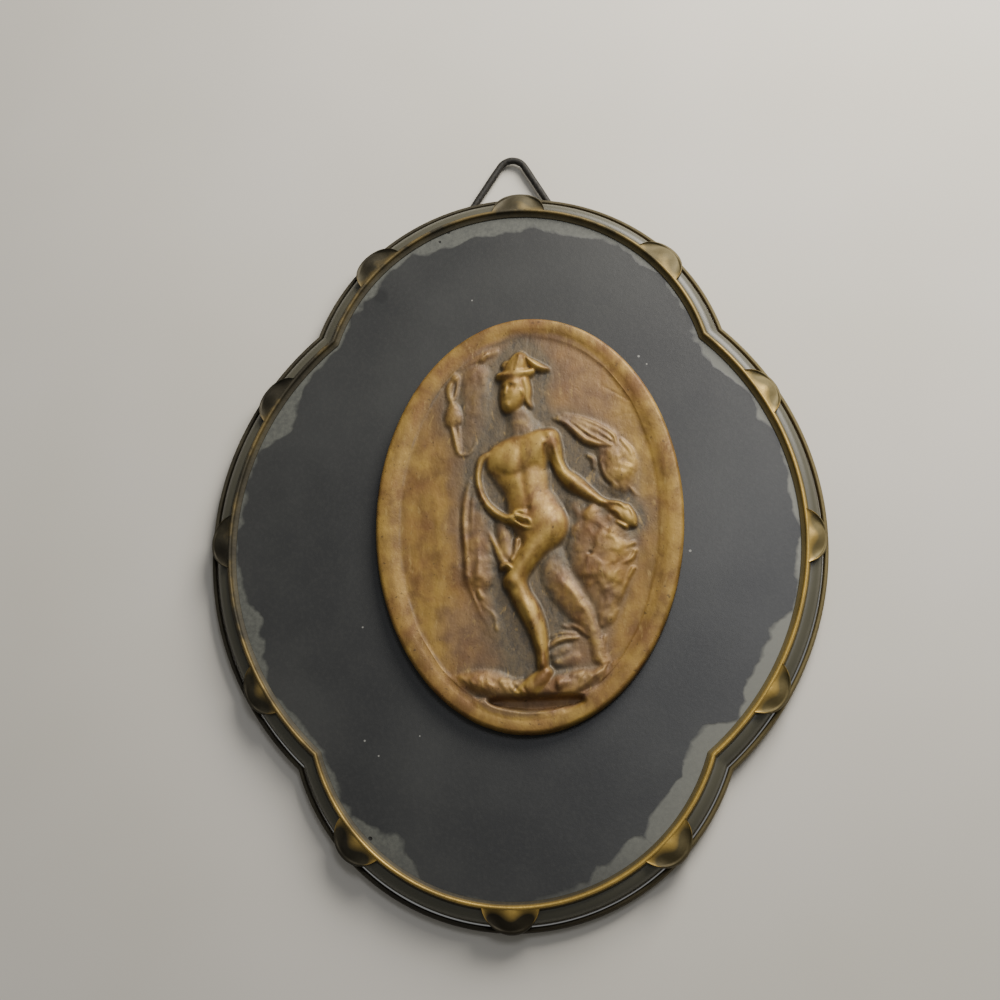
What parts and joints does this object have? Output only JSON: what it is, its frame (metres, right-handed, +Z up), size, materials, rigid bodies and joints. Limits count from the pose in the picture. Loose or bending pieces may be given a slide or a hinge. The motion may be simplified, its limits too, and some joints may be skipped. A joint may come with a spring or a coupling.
{
  "type": "plaster wall medallion",
  "caption": "Oval plaster relief of a striding figure on a black quatrefoil board, edged with pressed brass and hung by a wire loop.",
  "frame": {"origin": "centre of the flat back face, where the part meets the wall", "axes": "+Z up, the relief faces -Y, the back lies on Y = 0 against the wall, +X to the right as the face is seen"},
  "size_m": [0.122, 0.0101, 0.1608],
  "materials": {
    "painted_plaster": "cast plaster painted dull gold with a grey-brown glaze left in the hollows",
    "black_paint": "black paint on wood, satin, worn grey near the edge",
    "old_brass": "thin pressed brass, dull and olive with age",
    "black_wire": "dark iron wire, lightly rusted"
  },
  "bodies": {
    "root": {"backboard": "black_paint", "brass_frame": "old_brass", "plaster_medallion": "painted_plaster", "hanging_loop": "black_wire"}
  },
  "joints": []
}
